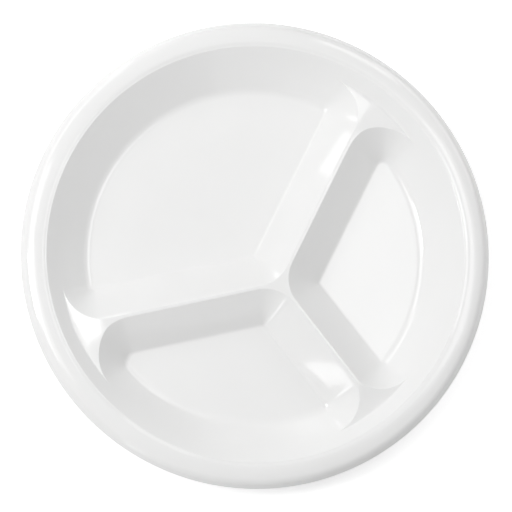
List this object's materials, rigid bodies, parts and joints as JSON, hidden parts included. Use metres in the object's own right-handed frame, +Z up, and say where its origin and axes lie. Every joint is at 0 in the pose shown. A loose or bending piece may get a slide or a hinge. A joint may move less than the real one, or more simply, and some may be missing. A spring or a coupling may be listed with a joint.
{
  "type": "divided compartment plate",
  "caption": "round moulded plastic dinner plate, parted by hollow dividers into a large main compartment and smaller side compartments with sloping walls, with a rolled-down rim",
  "frame": {"origin": "centre of the plate on the surface it stands on, under the middle of its bounding box", "axes": "+Z up, square to the rim; +Y through the middle of the main compartment; -Y along the stem divider; +X to the right with the main compartment away from the viewer"},
  "size_m": [0.26, 0.26, 0.0215],
  "materials": {
    "plate_plastic": "glossy white moulded plastic sheet, unprinted"
  },
  "bodies": {
    "root": {"plate": "plate_plastic"}
  },
  "joints": []
}
